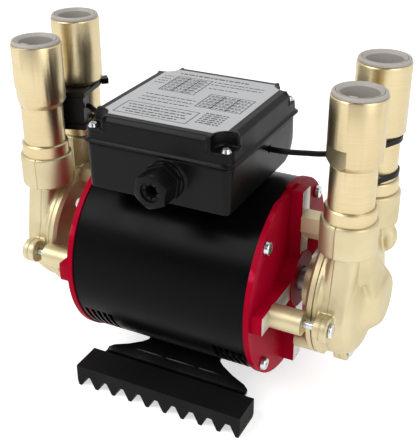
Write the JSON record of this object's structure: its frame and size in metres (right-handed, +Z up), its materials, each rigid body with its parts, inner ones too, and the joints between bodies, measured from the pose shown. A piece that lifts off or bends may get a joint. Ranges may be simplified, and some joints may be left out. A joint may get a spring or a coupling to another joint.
{
  "type": "shower pump",
  "caption": "Twin-ended shower pump: a motor between two brass pump heads, upright push-fit pipe couplings, flow switches, a terminal box on top and toothed rubber feet.",
  "frame": {"origin": "on the floor plane, under the middle of the whole part", "axes": "+X along the motor shaft to the right head, +Y to the back, +Z up"},
  "size_m": [0.263, 0.149, 0.2348],
  "materials": {
    "sleeve": "satin black paint",
    "crimson_casting": "semi-gloss crimson paint, ribs machined bare",
    "steel": "bright zinc plating",
    "dark_steel": "laminated, dull",
    "enamelled_wire": "enamelled copper wire",
    "cast_brass": "as cast, fine matte",
    "turned_brass": "turned bright",
    "seal_rubber": "moulded",
    "ceramic": "lapped ceramic",
    "grey_plastic": "moulded, fine matte",
    "black_plastic": "moulded black",
    "box_plastic": "moulded, fine texture",
    "label_film": "silver-grey printed film",
    "case_plastic": "moulded",
    "board": "lacquered",
    "saddle_paint": "gloss black paint",
    "foot_rubber": "moulded, dull",
    "float_plastic": "moulded",
    "impeller_plastic": "moulded"
  },
  "bodies": {
    "frame": {"motor_sleeve": "sleeve", "stator_core": "dark_steel", "stator_windings": "enamelled_wire", "left_bracket": "crimson_casting", "right_bracket": "crimson_casting", "bearings": "steel", "tie_bolts": "steel", "left_pump_back": "cast_brass", "right_pump_back": "cast_brass", "left_pump_cover": "cast_brass", "right_pump_cover": "cast_brass", "cover_seals": "seal_rubber", "cover_bolts": "steel", "seal_seats": "ceramic", "front_left_coupling": "turned_brass", "front_right_coupling": "turned_brass", "rear_left_coupling": "turned_brass", "rear_right_coupling": "turned_brass", "end_caps": "grey_plastic", "pipe_seals": "seal_rubber", "grab_rings": "steel", "socket_seals": "seal_rubber", "left_flow_switch": "black_plastic", "right_flow_switch": "black_plastic", "cable_ties": "black_plastic", "terminal_box_base": "box_plastic", "terminal_box_lid": "box_plastic", "lid_gasket": "seal_rubber", "lid_screws": "steel", "gland_body": "black_plastic", "gland_nut": "black_plastic", "gland_seal": "seal_rubber", "rating_plate": "label_film", "capacitor": "case_plastic", "terminal_block": "case_plastic", "control_board": "board", "left_switch_lead": "black_plastic", "right_switch_lead": "black_plastic", "base_saddle": "saddle_paint", "saddle_fixings": "steel", "front_foot": "foot_rubber", "rear_foot": "foot_rubber"},
    "rotor": {"motor_shaft": "steel", "rotor_core": "dark_steel", "cooling_fan": "black_plastic", "left_impeller": "impeller_plastic", "right_impeller": "impeller_plastic", "seal_heads": "seal_rubber"},
    "front_left_collet_body": {"front_left_collet": "grey_plastic"},
    "front_right_collet_body": {"front_right_collet": "grey_plastic"},
    "rear_left_collet_body": {"rear_left_collet": "grey_plastic"},
    "rear_right_collet_body": {"rear_right_collet": "grey_plastic"},
    "left_float_body": {"left_float": "float_plastic"},
    "right_float_body": {"right_float": "float_plastic"}
  },
  "joints": [
    {"name": "rotor_spin", "type": "hinge", "parent": "frame", "child": "rotor", "pos_m": [0, 0.0051, 0.0868], "axis": [1, 0, 0], "continuous": true},
    {"name": "front_left_collet_press", "type": "slide", "parent": "frame", "child": "front_left_collet_body", "axis": [0, 0, -1], "range_m": [0, 0.002]},
    {"name": "front_right_collet_press", "type": "slide", "parent": "frame", "child": "front_right_collet_body", "axis": [0, 0, -1], "range_m": [0, 0.002]},
    {"name": "rear_left_collet_press", "type": "slide", "parent": "frame", "child": "rear_left_collet_body", "axis": [0, 0, -1], "range_m": [0, 0.002]},
    {"name": "rear_right_collet_press", "type": "slide", "parent": "frame", "child": "rear_right_collet_body", "axis": [0, 0, -1], "range_m": [0, 0.002]},
    {"name": "left_float_lift", "type": "slide", "parent": "frame", "child": "left_float_body", "axis": [0, 0, 1], "range_m": [0, 0.008]},
    {"name": "right_float_lift", "type": "slide", "parent": "frame", "child": "right_float_body", "axis": [0, 0, 1], "range_m": [0, 0.008]}
  ]
}
